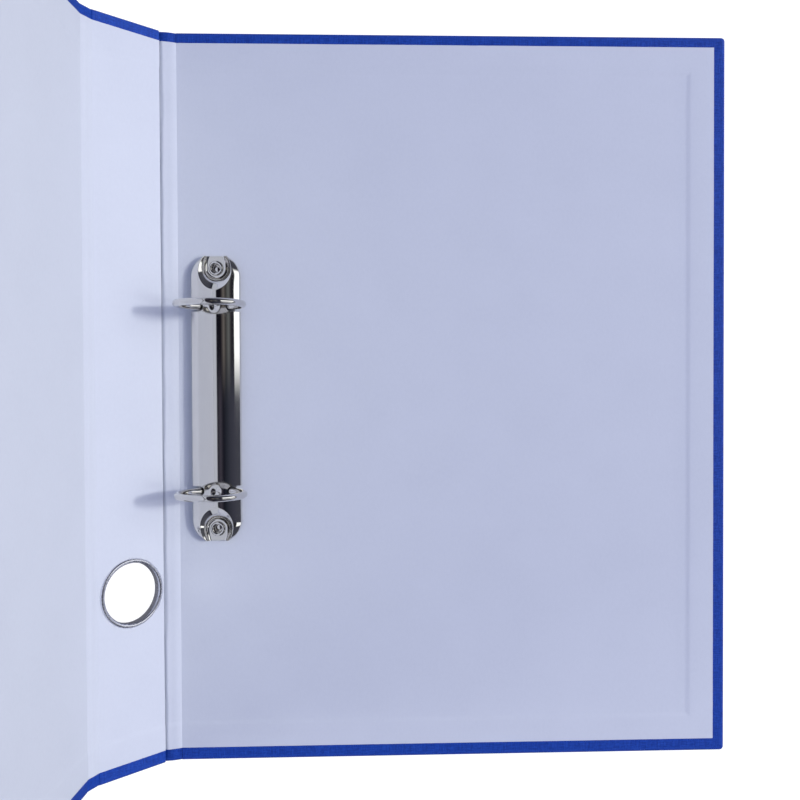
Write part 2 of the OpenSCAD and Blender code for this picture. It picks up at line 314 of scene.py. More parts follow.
def apply_modifiers(obj):
    """Puts the modifiers' result in the object's own mesh."""
    graph = bpy.context.evaluated_depsgraph_get()
    graph.update()
    result = bpy.data.meshes.new_from_object(obj.evaluated_get(graph))
    obj.modifiers.clear()
    obj.data = result


def shade(obj, degrees):
    """Smooth shading, with edges sharper than this many degrees kept crisp."""
    obj.data.polygons.foreach_set("use_smooth", [True] * len(obj.data.polygons))
    obj.data.set_sharp_from_angle(angle=math.radians(degrees))


# ---------------------------------------------------------------- covering

CORNER = 1.7 * MM
EDGE_ROUND = 0.75 * MM
TURN_IN = 15 * MM
CORNER_REACH = 20 * MM
FLAP_RAMP = 0.5 * MM
FLAP_SAG = 0.3 * MM
FLAP_FOLD = 1.15
OVERLAP_RISE = 0.16 * MM
OVERLAP_START = 0.8 * MM
OVERLAP_CLIMB = 0.6 * MM
OVERLAP_END = 2.6 * MM
OVERLAP_FALL = 1.3 * MM
OVERLAP_REACH = 9 * MM
# How far in from the free edge the painted highlight on the cloth reaches
EDGE_HIGHLIGHT_REACH = 1.1 * MM
ROUND_STEPS = 5
EYELET_BLOCK = 14.5 * MM
RIVET_BLOCK = 7 * MM
ARC_STEPS = 6

EYELET_LOW, EYELET_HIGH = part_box("thumb_eyelet")
EYELET_U = (SPINE_HIGH + SPINE_LOW) / 2
EYELET_Y = (EYELET_LOW.y + EYELET_HIGH.y) / 2
EYELET_HOLE = 13.25 * MM
RIVETS_Y = [(low.y + high.y) / 2 for low, high in (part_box("upper_rivet"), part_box("lower_rivet"))]
RIVET_LOW, RIVET_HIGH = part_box("upper_rivet")
HEAD_RADIUS = (RIVET_HIGH.x - RIVET_LOW.x) / 2

CORNER_STEPS = np.array([1.7, 2.4, 3.2, 4.2, 5.6, 7.5, 10, 14, 20]) * MM
BLOCK_BREAKS = [EYELET_Y - EYELET_BLOCK, EYELET_Y + EYELET_BLOCK]
RIVET_LINES = [lines([y - RIVET_BLOCK, y + RIVET_BLOCK], 2 * MM) for y in RIVETS_Y]
CREASE_ZONES = merged(*[lines([c - CLEARANCE, c + CLEARANCE], 0.15 * MM) for c in CREASE_U],
                      lines([BOARD_LOW - FLAP_RAMP, BOARD_LOW], 0.15 * MM),
                      lines([SPINE_HIGH, SPINE_HIGH + FLAP_RAMP], 0.15 * MM),
                      lines([SPINE_LOW - FLAP_RAMP, SPINE_LOW], 0.15 * MM),
                      lines([FRONT_HIGH, FRONT_HIGH + FLAP_RAMP], 0.15 * MM))


def covering_ys():
    """Grid lines of the covering across its height."""
    edges = HALF_HEIGHT - CORNER_STEPS
    breaks = list(edges) + list(-edges) + BLOCK_BREAKS + [g[0] for g in RIVET_LINES]
    breaks += [g[-1] for g in RIVET_LINES]
    return merged(lines(breaks, 4 * MM), *RIVET_LINES)


def covering_us(low, high, extra=()):
    """Grid lines of the covering along u, fine at the creases."""
    zones = CREASE_ZONES[(CREASE_ZONES > low) & (CREASE_ZONES < high)]
    return merged(lines([low, high] + list(zones) + list(extra), 6 * MM))


def edge_profile(top, radius):
    """Rows (inset, height, developed distance past the edge) from outer face to free edge."""
    rows = [(np.full(top.shape, CORNER), np.zeros(top.shape), np.full(top.shape, -CORNER))]
    for a in np.linspace(0, math.pi / 2, ROUND_STEPS):
        rows.append((radius * (1 - math.sin(a)), radius * (1 - math.cos(a)), radius * (a - 1)))
    side = top - 2 * radius
    turned = radius * (math.pi / 2 - 1) + side
    for a in np.linspace(0, math.pi / 2, ROUND_STEPS):
        rows.append((radius * (1 - math.cos(a)), top - radius * (1 - math.sin(a)),
                     turned + radius * a))
    flat_start = turned + radius * math.pi / 2
    for inset in np.array([1.2, 1.7, 2.3, 3, 3.8, 5, 7.5, 11, 15]) * MM:
        rows.append((np.full(top.shape, inset), top, flat_start + inset - radius))
    return [np.stack(part) for part in zip(*rows)]


def flap_height(u):
    """Top of a turned-in edge: a little lower over the gaps, with a fold by the spine board."""
    return BOARD_TOP + CLOTH - FLAP_SAG * gap_share(u, FLAP_RAMP) - FLAP_FOLD * crevice(u, 1.0)


def trimmed(value, edge, inset):
    """Slides grid lines near a corner so that inner rows stop at the mitre."""
    over = np.maximum(value - (edge - CORNER_REACH), 0)
    share = (CORNER_REACH - np.maximum(inset, CORNER)) / (CORNER_REACH - CORNER)
    return value - over * (1 - share)


def run_patch(us, end, corner=None):
    """The wrapped edge along the head (end 1) or the tail (end -1)."""
    top = flap_height(us)
    inset, n, past = edge_profile(top, np.minimum(EDGE_ROUND, top / 2))
    u = np.broadcast_to(us, inset.shape)
    if corner is not None:
        side = math.copysign(1, corner)
        u = side * trimmed(side * u, side * corner, inset)
    y = end * (HALF_HEIGHT - inset)
    uv = np.stack([u, end * (HALF_HEIGHT + past)], -1)
    # Last value: share of the painted highlight, strongest at the free edge
    return Patch(np.stack([u, y, n], -1), uv, np.exp(-(inset / EDGE_HIGHLIGHT_REACH) ** 2))


def overlap(inset, corner_distance):
    """How far the fore flap rises where it lies over the head and tail flaps."""
    rise = smooth((inset - OVERLAP_START) / OVERLAP_CLIMB)
    rise = rise * (1 - smooth((inset - OVERLAP_END) / OVERLAP_FALL))
    return OVERLAP_RISE * rise * (1 - smooth(corner_distance / OVERLAP_REACH))


def fore_patch(ys, edge):
    """The wrapped fore edge with both rounded, mitred corners."""
    side = math.copysign(1, edge)
    arc = np.linspace(0, math.pi / 2, ARC_STEPS + 1)
    angles = np.concatenate([arc - math.pi / 2, np.zeros(len(ys) - 2), arc])
    middle = np.concatenate([np.full(len(arc), ys[0]), ys[1:-1], np.full(len(arc), ys[-1])])
    top = np.full(len(angles), BOARD_TOP + CLOTH)
    inset, n, past = edge_profile(top, np.full(len(angles), EDGE_ROUND))
    reach = np.maximum(CORNER - inset, 0)
    extra = np.minimum(CORNER - inset, 0)
    half = HALF_HEIGHT
    slid = np.sign(middle) * trimmed(np.abs(middle), half, inset)
    on_arc = np.abs(middle) >= half - CORNER - 1e-9
    sign = np.sign(middle)
    u = np.where(on_arc, abs(edge) - CORNER + reach * np.cos(angles) + extra, abs(edge) - inset)
    y = np.where(on_arc, sign * (half - CORNER + extra) + reach * np.sin(angles), slid)
    fore_side = np.abs(angles) < math.pi / 4 - 1e-6
    n = n + np.where(fore_side, overlap(inset, half - np.abs(y) - inset), 0)
    uv_u = side * (u + np.cos(angles) * (inset + past))
    uv = np.stack([uv_u, y + np.sin(angles) * (inset + past)], -1)
    # Last value: share of the painted highlight, strongest at the free edge
    return Patch(np.stack([side * u, y, n], -1), uv, np.exp(-(inset / EDGE_HIGHLIGHT_REACH) ** 2))


def covering(name, low, high, fore=None, holes=()):
    """One piece of the blue covering between two seams, or a seam and the fore edge."""
    ys = covering_ys()
    extra = []
    for hole in holes:
        extra += list(lines([hole[0] - hole[2], hole[0] + hole[2]], 2 * MM))
    if fore is not None:
        side = math.copysign(1, fore)
        extra += list(side * (abs(fore) - CORNER_STEPS))
        low, high = (low, fore - CORNER) if side > 0 else (fore + CORNER, high)
    us = covering_us(low, high, extra)
    patches = panel_patches(us, ys, lambda u, y: np.zeros(np.shape(u)), holes)
    patches += [run_patch(us, end, fore) for end in (-1, 1)]
    if fore is not None:
        patches.append(fore_patch(ys, fore))
    obj = sheet_object(name, patches, CLOTH, -1)
    shade(obj, 38)
    return obj


# ---------------------------------------------------------------- lining

TURN_STEP = 2.8 * MM
HEAD_TRIM = 0.5 * MM
TAIL_TRIM = 0.5 * MM
RIVET_TUBE = 2.25 * MM
GAP = BOARD_LOW - SPINE_HIGH
BULGE = 0.2 * MM
BULGE_SHARE = 0.65
BAND_RISE = 0.13 * MM
BAND_WANDER = 0.05
CREVICE_WANDER = 0.12
RIPPLES = [(61, 0, 1.0), (143, 2, 0.7), (310, 0, 0.5)]
SWELL = 0.03 * MM
STEP_ROWS = 5


def gap_relief(u, y):
    """How the lining lies in the gaps: a bulge and a crevice behind, soft bands in front."""
    ripple = sum(height * np.sin(y * rate + start) for rate, start, height in RIPPLES)
    into = np.clip((BOARD_LOW - u) / GAP, 0, 1)
    rise = BULGE * np.sin(math.pi * np.minimum(into / BULGE_SHARE, 1)) ** 2
    front = np.clip((SPINE_LOW - u) / GAP, 0, 1)
    bands = BAND_RISE * np.sin(2 * math.pi * front + BAND_WANDER * ripple) ** 2
    return rise - bands - crevice(u, 1 + CREVICE_WANDER * ripple)


def lining_height(u, y):
    """Top of the lining: boards, gaps and the step over the turned-in covering."""
    head = (np.abs(y) - (HALF_HEIGHT - TURN_IN)) / TURN_STEP
    fore = np.maximum(u - (COVER_EDGE - TURN_IN), (FRONT_EDGE + TURN_IN) - u) / TURN_STEP
    over = np.maximum(smooth(head + 1), smooth(fore + 1))
    swell = SWELL * np.sin(u * 95 + 3 * np.sin(y * 21)) * np.sin(y * 37 + 1.3)
    return FACE + CLOTH * over + swell + gap_relief(u, y)


def lining_ys():
    """Grid lines of the lining across its height, fine at the step over the turn-in."""
    well = HALF_HEIGHT - TURN_IN
    steps = lines([well - TURN_STEP, well], TURN_STEP / STEP_ROWS)
    ends = [LINING_LOW.y + TAIL_TRIM, LINING_HIGH.y - HEAD_TRIM] + BLOCK_BREAKS
    ends += [g[0] for g in RIVET_LINES] + [g[-1] for g in RIVET_LINES]
    inner = lines(ends + list(steps) + list(-steps), 2.5 * MM)
    return merged(inner, *RIVET_LINES)


def lining_us(low, high, extra=()):
    """Grid lines of the lining along u, fine at the creases and in the gaps."""
    zones = merged(*[lines([c - CLEARANCE, c + CLEARANCE], 0.12 * MM) for c in CREASE_U],
                   lines([SPINE_HIGH, SPINE_HIGH + CREVICE_WIDTH], 0.1 * MM),
                   lines([SPINE_HIGH + CREVICE_WIDTH, BOARD_LOW], 0.35 * MM),
                   lines([FRONT_HIGH, SPINE_LOW], 0.35 * MM))
    zones = zones[(zones > low) & (zones < high)]
    return merged(lines([low, high] + list(zones) + list(extra), 6 * MM))


def lining(name, low, high, steps=(), holes=()):
    """One piece of the paper lining."""
    extra = list(steps)
    for hole in holes:
        extra += list(lines([hole[0] - hole[2], hole[0] + hole[2]], 2 * MM))
    us = lining_us(low, high, extra)
    patches = panel_patches(us, lining_ys(), lining_height, holes)
    obj = sheet_object(name, patches, LINING, 1)
    shade(obj, 40)
    return obj


# ---------------------------------------------------------------- turned and swept metal

def lathe(name, profile, segments, locate):
    """A profile of (radius, height), a loop or from axis to axis, turned round its axis.

    locate maps (a, b, height) to space."""
    bm = bmesh.new()
    rings = []
    for radius, height in profile:
        if radius < 1e-7:
            rings.append([bm.verts.new(locate(0.0, 0.0, height))])
            continue
        ring = []
        for i in range(segments):
            angle = 2 * math.pi * i / segments
            ring.append(bm.verts.new(locate(radius * math.cos(angle),
                                            radius * math.sin(angle), height)))
        rings.append(ring)
    closed = len(rings[0]) > 1
    pairs = list(zip(rings, rings[1:])) + ([(rings[-1], rings[0])] if closed else [])
    for one, two in pairs:
        for i in range(segments):
            j = (i + 1) % segments
            corners = [one[i % len(one)], one[j % len(one)], two[j % len(two)], two[i % len(two)]]
            distinct = []
            for corner in corners:
                if corner not in distinct:
                    distinct.append(corner)
            if len(distinct) > 2:
                bm.faces.new(distinct)
    bmesh.ops.recalc_face_normals(bm, faces=bm.faces)
    return mesh_object(name, bm)


def arc_points(centre, radius, first, last, steps):
    """Points on an arc of the profile, from one angle in degrees to another."""
    angles = np.radians(np.linspace(first, last, steps + 1))
    return [(centre[0] + radius * math.cos(a), centre[1] + radius * math.sin(a)) for a in angles]


THUMB_RADIUS = 12.8 * MM
FLANGE = 1.0 * MM
BARREL_WALL = 0.4 * MM


def thumb_eyelet():
    """Barrel through the spine with a rolled flange at each end."""
    mid = THUMB_RADIUS + FLANGE
    profile = arc_points((mid, FACE), FLANGE, -20, 180, 18)
    profile += arc_points((mid, 0.0), FLANGE, 180, 380, 18)
    profile += [(mid + 0.6 * FLANGE, 0.0), (THUMB_RADIUS + BARREL_WALL, 0.0)]
    profile += [(THUMB_RADIUS + BARREL_WALL, FACE), (mid + 0.6 * FLANGE, FACE)]

    def locate(a, b, height):
        return place(EYELET_U + a, EYELET_Y + b, height)

    obj = lathe("thumb_eyelet_rolled", profile, 144, locate)
    shade(obj, 40)
    return obj


PLATE_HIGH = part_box("ring_plate")[1]
PLATE_HALF = PLATE_HIGH.x
PLATE_END = PLATE_HIGH.y
PLATE_HEIGHT = PLATE_HIGH.z - FACE
PLATE_WALL = 0.6 * MM
SEAT_WALL = 0.9 * MM
RING_Y = [(low.y + high.y) / 2 for low, high in
          (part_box("upper_left_half_ring"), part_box("lower_left_half_ring"))]
CROWN = 18 * MM
SHOULDER = 1.2 * MM
END_ROUND = 10 * MM
END_TAPER = 9.2 * MM
END_FALL_FROM = 46 * MM
END_FALL = 0.15
DISH_SEAT = 4.2 * MM
DISH_RIM = 7.7 * MM
DISH_DEPTH = 3.9 * MM
DISH_OPENING = 0.5
DISH_LIP = 0.22 * MM
DISH_FOOT = 0.12
DISH_FLARE = 0.35
RIM_SLOPE = 0.75
DIMPLE = 2.9 * MM
DIMPLE_DEPTH = 0.42 * MM
PUNCH_DEPTH = 0.25 * MM
PUNCH_RADIUS = 0.5 * MM
RING_ZONE = 5 * MM
CROWN_LINES = 180
SLOT_HALF = 2.2 * MM
SLOT_REACH = 4.9 * MM


def plate_half_width(y):
    """Half of the plate's plan width at y: straight sides, ends drawn in along arcs."""
    past = np.maximum(np.abs(y) - (PLATE_END - END_TAPER), 0)
    return PLATE_HALF - END_ROUND + np.sqrt(END_ROUND ** 2 - past ** 2)


def crown_section(count):
    """(x, z) along the plate's section from one foot over the crown to the other."""
    shoulder_x = PLATE_HALF - SHOULDER
    lean = math.asin(shoulder_x / (CROWN - SHOULDER))
    crown_z = PLATE_HEIGHT - CROWN
    shoulder_z = crown_z + (CROWN - SHOULDER) * math.cos(lean)
    lengths = np.array([CROWN * lean, SHOULDER * (math.pi / 2 - lean), shoulder_z])
    total = lengths.sum()
    s = np.linspace(0, total, count // 2 + 1)
    x, z = np.zeros(len(s)), np.zeros(len(s))
    on_crown = s <= lengths[0]
    x[on_crown] = CROWN * np.sin(s[on_crown] / CROWN)
    z[on_crown] = crown_z + CROWN * np.cos(s[on_crown] / CROWN)
    on_shoulder = (s > lengths[0]) & (s <= lengths[0] + lengths[1])
    a = lean + (s[on_shoulder] - lengths[0]) / SHOULDER
    x[on_shoulder] = shoulder_x + SHOULDER * np.sin(a)
    z[on_shoulder] = shoulder_z + SHOULDER * np.cos(a)
    on_side = s > lengths[0] + lengths[1]
    x[on_side] = PLATE_HALF
    z[on_side] = total - s[on_side]
    return np.concatenate([-x[:0:-1], x]), np.concatenate([z[:0:-1], z])


def soft_min(a, b, width):
    """The lower of two surfaces, with the edge between them rounded."""
    mix = np.clip(0.5 + (b - a) / (2 * width), 0, 1)
    return b * (1 - mix) + a * mix - width * mix * (1 - mix)


def dish_height(x, y, rivet_y):
    """A dish round a rivet: flat seat, wall that flares outwards, drawn out to the plate's tip."""
    outward = (y - rivet_y) * np.sign(rivet_y)
    radius = np.hypot(x, np.where(outward > 0, DISH_OPENING, 1.0) * outward)
    wall = (radius - DISH_SEAT) / (DISH_RIM - DISH_SEAT)
    wall = -soft_min(-wall, 0, DISH_FOOT)
    beyond = (1 - RIM_SLOPE) + RIM_SLOPE * wall
    rise = np.where(wall > 1, beyond, wall * (1 + DISH_FLARE - DISH_FLARE * wall))
    return SEAT_WALL + DISH_DEPTH * rise


def plate_grid():
    """Points (i, j, 3) of the plate's upper skin, from foot to foot and from end to end."""
    section_x, section_z = crown_section(CROWN_LINES)
    fine = merged(lines([RING_Y[0] - RING_ZONE, END_FALL_FROM], 0.32 * MM),
                  lines([END_FALL_FROM, PLATE_END], 0.2 * MM))
    ys = merged(fine, -fine, lines([RING_Y[1] + RING_ZONE, RING_Y[0] - RING_ZONE], 4 * MM))
    x, y = np.meshgrid(section_x, ys, indexing="ij")
    z = np.broadcast_to(section_z[:, None], x.shape).copy()
    width = plate_half_width(y)
    narrowed = PLATE_HALF - width
    centre_share = np.clip(np.abs(x) / PLATE_HALF, 0, 1)
    x = np.sign(x) * (np.abs(x) - narrowed * centre_share)
    z = z * (1 - END_FALL * smooth((np.abs(y) - END_FALL_FROM) / (PLATE_END - END_FALL_FROM)))
    for rivet_y in RIVETS_Y:
        z = soft_min(z, dish_height(x, y, rivet_y), DISH_LIP)
    for ring_y in RING_Y:
        radius = np.hypot(x, y - ring_y)
        z = z - DIMPLE_DEPTH * (1 - smooth(radius / DIMPLE))
        z = z - PUNCH_DEPTH * np.exp(-(radius / PUNCH_RADIUS) ** 2)
    return np.stack([x, y, np.maximum(z, 0) + FACE], -1)


CUTTER_BELOW = 5 * MM
CUTTER_ABOVE = 15 * MM
DRILL_BELOW = 2 * MM
DRILL_ABOVE = 4 * MM


def stadium_cutter(name, side, y):
    """A prism for one slot, open at the plate's side and round at its inner end."""
    bm = bmesh.new()
    outline = [(side * 2 * PLATE_HALF, -SLOT_HALF)]
    for angle in np.radians(np.linspace(-90, -270, 17)):
        outline.append((side * (SLOT_REACH + SLOT_HALF + SLOT_HALF * math.cos(angle)),
                        SLOT_HALF * math.sin(angle)))
    outline.append((side * 2 * PLATE_HALF, SLOT_HALF))
    low = [bm.verts.new((x, y + b, FACE - CUTTER_BELOW)) for x, b in outline]
    high = [bm.verts.new((x, y + b, FACE + CUTTER_ABOVE)) for x, b in outline]
    bm.faces.new(low)
    bm.faces.new(high)
    for i in range(len(outline)):
        j = (i + 1) % len(outline)
        bm.faces.new([low[i], low[j], high[j], high[i]])
    bmesh.ops.recalc_face_normals(bm, faces=bm.faces)
    return mesh_object(name, bm)


def upright(y):
    """locate for a lathe whose axis stands on the plate's middle line at y."""
    def locate(a, b, height):
        return (a, y + b, height)
    return locate


def drill_cutter(name, y):
    """A cylinder for one rivet hole in the plate."""
    low, high = FACE - DRILL_BELOW, FACE + DRILL_ABOVE
    profile = [(0.0, low), (RIVET_TUBE, low), (RIVET_TUBE, high), (0.0, high)]
    return lathe(name, profile, 40, upright(y))


def cut(obj, cutters):
    """Subtracts the cutters from the object and removes them."""
    for cutter in cutters:
        tool = obj.modifiers.new("cut", "BOOLEAN")
        tool.operation = "DIFFERENCE"
        tool.solver = "EXACT"
        tool.object = cutter
    apply_modifiers(obj)
    for cutter in cutters:
        bpy.data.objects.remove(cutter)


def ring_plate():
    """Pressed plate: crown, turned-down sides, dished rivet seats, dimples and slots."""
    points = plate_grid()
    bm = bmesh.new()
    rows = [[bm.verts.new(p) for p in row] for row in points]
    for one, two in zip(rows, rows[1:]):
        for i in range(len(one) - 1):
            bm.faces.new([one[i], two[i], two[i + 1], one[i + 1]])
    bmesh.ops.recalc_face_normals(bm, faces=bm.faces)
    if sum(f.normal.z for f in bm.faces) < 0:
        bmesh.ops.reverse_faces(bm, faces=bm.faces)
    obj = mesh_object("plate_arched", bm)
    solid = obj.modifiers.new("thickness", "SOLIDIFY")
    solid.thickness = PLATE_WALL
    solid.offset = -1
    cutters = [stadium_cutter("slot_cutter", side, y) for side in (-1, 1) for y in RING_Y]
    cutters += [drill_cutter("drill_cutter", y) for y in RIVETS_Y]
    cut(obj, cutters)
    shade(obj, 45)
    return obj


RING_LOW, RING_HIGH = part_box("upper_left_half_ring")
WIRE = (RING_HIGH.y - RING_LOW.y) / 2
RING_RADIUS = -RING_LOW.x - WIRE
RING_Z = RING_HIGH.z - RING_RADIUS - WIRE
LEG_X = 6.6 * MM
LEG_BEND = 2.4 * MM
TIP = 0.45 * MM
TIP_GAP = 0.04 * MM
TIP_SLOPE = 1.155
WIRE_SIDES = 32
ARC_START = 0.16
ARC_STATIONS = 46
KNEE_TURN = math.radians(4)
KNEE_PULL = 0.45
EDGE_SOFTENING = 0.09 * MM


def wire_path():
    """Stations below the top: (centre, direction across the wire) for the right half."""
    foot = math.asin(LEG_X / RING_RADIUS)
    last = math.pi - foot - KNEE_TURN
    stations = []
    for phi in np.linspace(ARC_START, last, ARC_STATIONS):
        across = np.array([math.sin(phi), math.cos(phi)])
        stations.append((np.array([0.0, RING_Z]) + RING_RADIUS * across, across))
    end, across = stations[-1]
    turn = math.atan2(across[0], -across[1])
    lean_to = math.pi / 2
    knee = np.array([LEG_X, RING_Z - RING_RADIUS * math.cos(foot) - LEG_BEND])
    for share in (0.2, 0.4, 0.6, 0.8, 1.0):
        angle = turn + (lean_to - turn) * smooth(share)
        centre = end * (1 - share) ** 2 + knee * share ** 2
        pull = end + np.array([-across[1], across[0]]) * -LEG_BEND * KNEE_PULL
        centre = centre + 2 * share * (1 - share) * pull
        stations.append((centre, np.array([math.sin(angle), -math.cos(angle)])))
    stations.append((np.array([LEG_X, RING_LOW.z]), np.array([1.0, 0.0])))
    return stations


def half_ring(name, side, y):
    """A bent wire from the leg to the V joint at the top of the ring."""
    tip = side * TIP + TIP_GAP
    bm = bmesh.new()
    around = 2 * math.pi * np.arange(WIRE_SIDES) / WIRE_SIDES
    loops = []
    ends = []
    for turn in around:
        reach = RING_RADIUS + WIRE * math.cos(turn)
        edge = tip - side * TIP_SLOPE * WIRE * abs(math.sin(turn))
        phi = math.asin(edge / reach)
        ends.append((phi, reach, WIRE * math.sin(turn)))
    for share in (0, 0.12, 0.3, 0.55):
        loop = []
        for phi, reach, b in ends:
            angle = phi + (ARC_START - phi) * share
            loop.append((reach * math.sin(angle), b, RING_Z + reach * math.cos(angle)))
        loops.append(loop)
    for centre, across in wire_path():
        loop = []
        for turn in around:
            point = centre + across * WIRE * math.cos(turn)
            loop.append((point[0], WIRE * math.sin(turn), point[1]))
        loops.append(loop)
    rings = [[bm.verts.new((side * a, y + b, c)) for a, b, c in loop] for loop in loops]
    for one, two in zip(rings, rings[1:]):
        for i in range(WIRE_SIDES):
            j = (i + 1) % WIRE_SIDES
            bm.faces.new([one[i], one[j], two[j], two[i]])
    half = WIRE_SIDES // 2
    bm.faces.new([rings[0][i] for i in range(half + 1)])
    bm.faces.new([rings[0][i % WIRE_SIDES] for i in range(half, WIRE_SIDES + 1)])
    bm.faces.new(rings[-1])
    bmesh.ops.recalc_face_normals(bm, faces=bm.faces)
    obj = mesh_object(name, bm)
    bevel = obj.modifiers.new("softened_edges", "BEVEL")
    bevel.width = EDGE_SOFTENING
    bevel.segments = 2
    bevel.limit_method = "ANGLE"
    bevel.angle_limit = math.radians(35)
    apply_modifiers(obj)
    shade(obj, 40)
    return obj


RIVET_BORE = 1.75 * MM
RIVET_ROLL = 0.75 * MM
HEAD_RISE = 0.04 * MM
HEAD_THICKNESS = 0.5 * MM
HEAD_ROUND = 0.25 * MM
HEAD_MARGIN = 0.1 * MM
BORE_ROUND = 0.3 * MM
BORE_CONE = 0.6 * MM
TUBE_PLAY = 0.06 * MM


def rivet(name, y):
    """Tubular rivet: flush head outside, tube through the board, rolled lip in the dish."""
    low = RIVET_LOW.z
    seat = FACE + SEAT_WALL
    head = low + HEAD_THICKNESS
    roll = RIVET_BORE + RIVET_ROLL
    profile = [(0.0, head + BORE_CONE), (RIVET_BORE * 0.75, head + HEAD_MARGIN)]
    profile += arc_points((RIVET_BORE - BORE_ROUND, head + 0.4 * MM), BORE_ROUND, -90, 0, 4)
    profile += arc_points((roll, seat), RIVET_ROLL, 180, 0, 14)
    profile += [(RIVET_TUBE - TUBE_PLAY, seat), (RIVET_TUBE - TUBE_PLAY, head)]
    profile += [(HEAD_RADIUS - HEAD_MARGIN, head)]
    profile += arc_points((HEAD_RADIUS - HEAD_ROUND, low + HEAD_ROUND), HEAD_ROUND, 0, -90, 5)
    profile += [(HEAD_RADIUS * 0.5, low - HEAD_RISE * 0.7), (0.0, low - HEAD_RISE)]
    obj = lathe(name, profile, 72, upright(y))
    shade(obj, 40)
    return obj


# ---------------------------------------------------------------- materials

class Maker:
    """Adds and joins shader nodes in one node tree."""

    def __init__(self, tree):
        self.tree = tree
        self.surface = tree.nodes.get("Principled BSDF")

    def node(self, kind, **values):
        node = self.tree.nodes.new(kind)
        for key, value in values.items():
            if hasattr(node, key):
                setattr(node, key, value)
            else:
                node.inputs[key.replace("_", " ")].default_value = value
        return node

    def join(self, output, node, name):
        self.tree.links.new(output, node.inputs[name])

    def math(self, kind, a, b=None, c=None):
        node = self.node("ShaderNodeMath", operation=kind)
        for index, value in enumerate((a, b, c)):
            if value is None:
                continue
            if isinstance(value, (int, float)):
                node.inputs[index].default_value = value
            else:
                self.tree.links.new(value, node.inputs[index])
        return node.outputs[0]

    def noise(self, vector, scale, detail=3.0, roughness=0.5):
        node = self.node("ShaderNodeTexNoise", Scale=scale, Detail=detail, Roughness=roughness)
        self.join(vector, node, "Vector")
        return node.outputs["Fac"]

    def scaled(self, vector, x, y, z):
        node = self.node("ShaderNodeMapping")
        node.inputs["Scale"].default_value = (x, y, z)
        self.join(vector, node, "Vector")
        return node.outputs["Vector"]

    def ramp(self, factor, stops):
        node = self.node("ShaderNodeValToRGB")
        elements = node.color_ramp.elements
        while len(elements) < len(stops):
            elements.new(0.5)
        for element, (position, colour) in zip(elements, stops):
            element.position = position
            element.color = (*colour, 1)
        self.join(factor, node, "Fac")
        return node.outputs["Color"]

    def mix(self, factor, one, two):
        node = self.node("ShaderNodeMix", data_type="RGBA")
        for name, value in (("Factor", factor), ("A", one), ("B", two)):
            socket = next(s for s in node.inputs if s.name == name and
                          (s.type == "VALUE" if name == "Factor" else s.type == "RGBA"))
            if isinstance(value, (int, float)):
                socket.default_value = value
            elif isinstance(value, tuple):
                socket.default_value = (*value, 1)
            else:
                self.tree.links.new(value, socket)
        return next(s for s in node.outputs if s.type == "RGBA")

    def bump(self, height, strength, distance):
        node = self.node("ShaderNodeBump", Strength=strength, Distance=distance)
        self.join(height, node, "Height")
        self.join(node.outputs["Normal"], self.surface, "Normal")


def new_material(name):
    """An empty node material and the maker of its nodes."""
    material = bpy.data.materials.new(name)
    material.use_nodes = True
    return material, Maker(material.node_tree)


def cloth_coordinates(maker):
    """The sheet's own flat coordinates, in metres."""
    node = maker.node("ShaderNodeUVMap", uv_map="cloth")
    return node.outputs["UV"]


def covering_material():
    """Blue binding cloth: fine crossed threads with slubs, and a painted highlight in patches along the
    edges.
    """
    material, m = new_material("blue_covering")
    uv = cloth_coordinates(m)
    warp = m.noise(m.scaled(uv, 2400, 240, 1), 1.0, 2.0)
    weft = m.noise(m.scaled(uv, 240, 2400, 1), 1.0, 2.0)
    threads = m.math("ADD", warp, weft)
    mottle = m.noise(m.scaled(uv, 90, 90, 1), 1.0, 4.0)
    speck = m.noise(m.scaled(uv, 1300, 1300, 1), 1.0, 2.0)
    level = m.math("MULTIPLY_ADD", threads, 0.5, m.math("MULTIPLY_ADD", speck, 0.35, -0.175))
    colour = m.ramp(level, [(0.36, (0.0035, 0.0245, 0.182)), (0.5, (0.006, 0.038, 0.255)),
                            (0.66, (0.014, 0.062, 0.335))])
    colour = m.mix(m.math("MULTIPLY_ADD", mottle, 0.5, -0.12), colour, (0.006, 0.036, 0.245))
    # Painted highlight: lighter blue in patches near the cloth's edges, standing in for the light on the
    # rounded edges
    rub = m.node("ShaderNodeAttribute", attribute_name="rub").outputs["Fac"]
    highlight_share = m.math("MULTIPLY", rub, m.math("MULTIPLY", mottle, 0.22))
    colour = m.mix(highlight_share, colour, (0.06, 0.12, 0.34))
    m.join(colour, m.surface, "Base Color")
    m.join(m.math("MULTIPLY_ADD", threads, 0.15, 0.36), m.surface, "Roughness")
    m.surface.inputs["Specular IOR Level"].default_value = 0.35
    m.bump(m.math("ADD", threads, m.math("MULTIPLY", speck, 0.3)), 0.5, 0.12 * MM)
    return material


def lining_material():
    """Uncoated bluish paper: short fibres, faint clouding and a fine tooth."""
    material, m = new_material("paper_lining")
    uv = cloth_coordinates(m)
    cloud = m.noise(m.scaled(uv, 35, 35, 1), 1.0, 5.0, 0.55)
    grain = m.noise(m.scaled(uv, 900, 500, 1), 1.0, 4.0, 0.6)
    fibre = m.noise(m.scaled(uv, 260, 2600, 1), 1.0, 3.0, 0.6)
    tone = m.math("MULTIPLY_ADD", cloud, 0.5, m.math("MULTIPLY", grain, 0.5))
    colour = m.ramp(tone, [(0.34, (0.487, 0.513, 0.548)), (0.5, (0.50, 0.526, 0.56)),
                           (0.68, (0.511, 0.537, 0.572))])
    m.join(colour, m.surface, "Base Color")
    m.surface.inputs["Roughness"].default_value = 0.85
    m.surface.inputs["Specular IOR Level"].default_value = 0.04
    m.bump(m.math("MULTIPLY_ADD", fibre, 0.5, grain), 0.35, 0.05 * MM)
    return material


